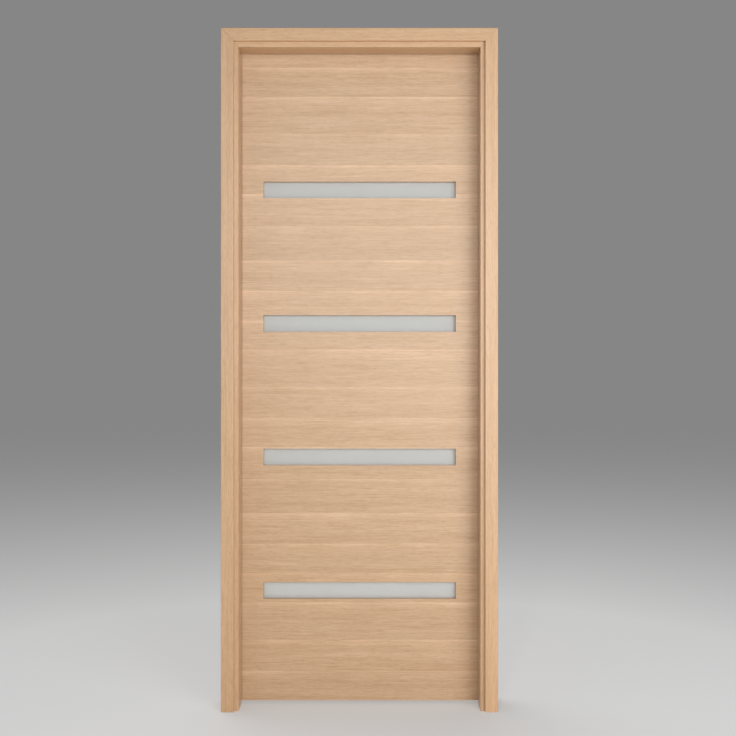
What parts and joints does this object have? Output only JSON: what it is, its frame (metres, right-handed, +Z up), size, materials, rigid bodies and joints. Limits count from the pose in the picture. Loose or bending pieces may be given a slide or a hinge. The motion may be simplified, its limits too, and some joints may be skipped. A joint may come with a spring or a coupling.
{
  "type": "interior door",
  "caption": "Flush oak-veneered interior door with horizontal frosted glass strips, hung on butt hinges in a deep rebated frame with narrow mitred casings on both faces of the wall.",
  "frame": {"origin": "on the wall face of the hinge jamb, at floor level and halfway through the wall", "axes": "+X from the hinge jamb to the lock jamb, +Y through the wall to the side that the leaf opens to, +Z up"},
  "size_m": [0.87, 0.148, 2.096],
  "materials": {
    "leaf_veneer": "satin",
    "frame_oak": "satin",
    "solid_oak": "satin",
    "core_wood": "matte",
    "frosted_glass": "matte",
    "hinge_steel": "satin"
  },
  "bodies": {
    "frame": {"hinge_jamb": "frame_oak", "lock_jamb": "frame_oak", "head_jamb": "frame_oak", "front_casing_hinge_side": "frame_oak", "front_casing_lock_side": "frame_oak", "front_casing_head": "frame_oak", "back_casing_hinge_side": "frame_oak", "back_casing_lock_side": "frame_oak", "back_casing_head": "frame_oak", "hinge_1_frame_plate": "hinge_steel", "hinge_2_frame_plate": "hinge_steel", "hinge_3_frame_plate": "hinge_steel", "hinge_1_pin": "hinge_steel", "hinge_2_pin": "hinge_steel", "hinge_3_pin": "hinge_steel"},
    "leaf": {"front_skin": "leaf_veneer", "back_skin": "leaf_veneer", "hinge_lipping": "solid_oak", "lock_lipping": "solid_oak", "hinge_stile": "core_wood", "lock_stile": "core_wood", "rail_1": "core_wood", "rail_2": "core_wood", "rail_3": "core_wood", "rail_4": "core_wood", "rail_5": "core_wood", "glass_strip_1": "frosted_glass", "glass_strip_2": "frosted_glass", "glass_strip_3": "frosted_glass", "glass_strip_4": "frosted_glass", "glazing_beads_1": "solid_oak", "glazing_beads_2": "solid_oak", "glazing_beads_3": "solid_oak", "glazing_beads_4": "solid_oak", "hinge_1_leaf_plate": "hinge_steel", "hinge_2_leaf_plate": "hinge_steel", "hinge_3_leaf_plate": "hinge_steel"}
  },
  "joints": [
    {"name": "leaf_swing", "type": "hinge", "parent": "frame", "child": "leaf", "pos_m": [0.02425, 0.07, 1], "axis": [0, 0, 1], "range_deg": [0, 180]}
  ]
}
